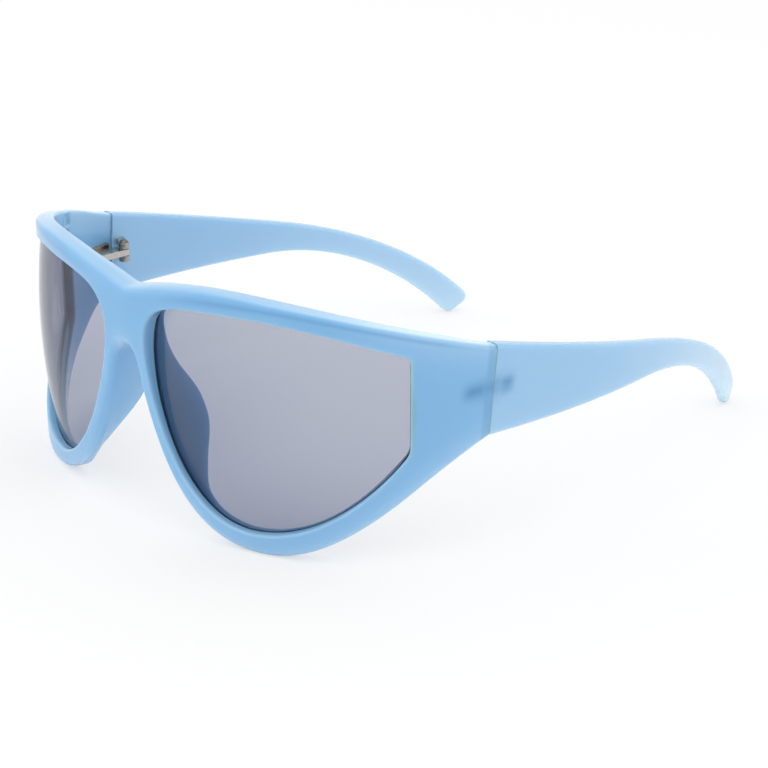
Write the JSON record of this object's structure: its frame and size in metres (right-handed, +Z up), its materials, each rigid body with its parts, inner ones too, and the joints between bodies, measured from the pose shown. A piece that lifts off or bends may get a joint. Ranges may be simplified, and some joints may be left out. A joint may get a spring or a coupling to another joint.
{
  "type": "wrap sunglasses",
  "caption": "Wrap sunglasses: a curved light blue plastic front holds smoke lenses, and the temples fold on metal screw hinges.",
  "frame": {"origin": "middle of the footprint, on the ground that the rims and the temple tips rest on", "axes": "+X to the wearer's left, lenses face -Y, temples run back along +Y, +Z up"},
  "size_m": [0.146, 0.173, 0.0617],
  "materials": {
    "frame_plastic": "polished, milky light blue that lets some light through",
    "smoke_lens": "polished smoke grey, see-through",
    "hinge_metal": "nickel plated, satin"
  },
  "bodies": {
    "front": {"front_frame": "frame_plastic", "lens_left": "smoke_lens", "lens_right": "smoke_lens", "hinge_front_leaf_left": "hinge_metal", "hinge_front_leaf_right": "hinge_metal"},
    "temple_left": {"temple_left": "frame_plastic", "hinge_temple_leaf_left": "hinge_metal", "hinge_screw_left": "hinge_metal"},
    "temple_right": {"temple_right": "frame_plastic", "hinge_temple_leaf_right": "hinge_metal", "hinge_screw_right": "hinge_metal"}
  },
  "joints": [
    {"name": "temple_left_fold", "type": "hinge", "parent": "front", "child": "temple_left", "pos_m": [0.064, -0.03509, 0.04025], "axis": [0, -0.0213, 0.9998], "range_deg": [0, 97]},
    {"name": "temple_right_fold", "type": "hinge", "parent": "front", "child": "temple_right", "pos_m": [-0.064, -0.03509, 0.04025], "axis": [0, 0.0213, -0.9998], "range_deg": [0, 86]}
  ]
}
